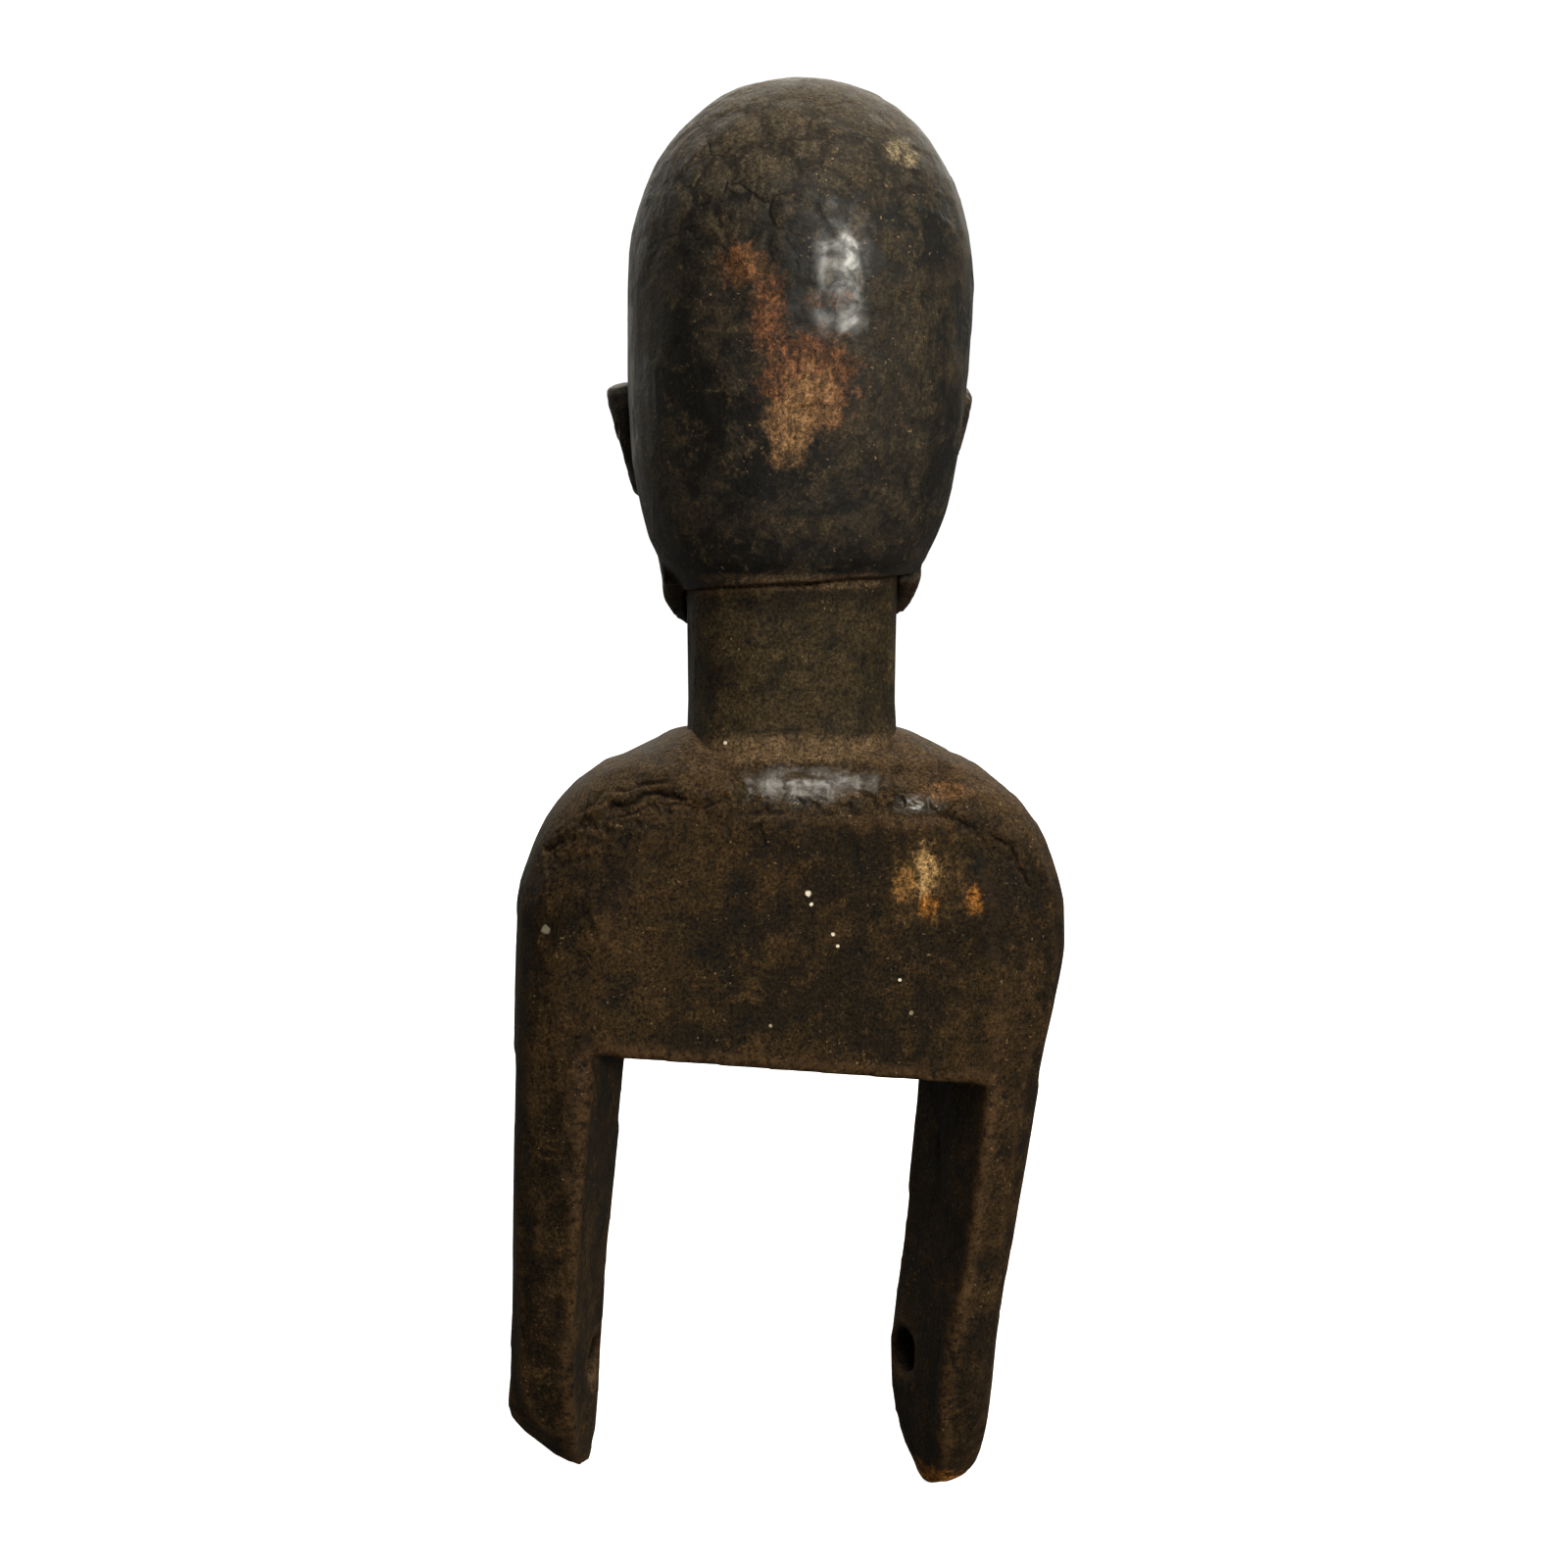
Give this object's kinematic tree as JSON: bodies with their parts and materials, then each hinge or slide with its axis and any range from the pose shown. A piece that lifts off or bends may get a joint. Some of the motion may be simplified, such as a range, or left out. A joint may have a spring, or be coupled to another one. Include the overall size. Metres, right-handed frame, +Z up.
{
  "type": "carved heddle pulley",
  "caption": "Carved wooden heddle pulley: a head on a squared neck, a rounded shoulder yoke and two arms drilled for an axle.",
  "frame": {"origin": "middle of the carving's footprint, on the surface that the lower arm tip touches", "axes": "+Z up along the neck, +Y towards the back of the figure, +X towards the figure's left"},
  "size_m": [0.0742, 0.0488, 0.19],
  "materials": {
    "crusted_wood": "dark, matte, crusted patina",
    "handled_wood": "dark patina polished by hands, worn to orange-brown wood in patches",
    "rubbed_wood": "dark brown, matte, finely scratched"
  },
  "bodies": {
    "root": {"left_arm": "rubbed_wood", "right_arm": "rubbed_wood", "shoulder_yoke": "crusted_wood", "neck": "rubbed_wood", "skull": "handled_wood", "face": "handled_wood", "left_ear": "handled_wood", "right_ear": "handled_wood"}
  },
  "joints": []
}
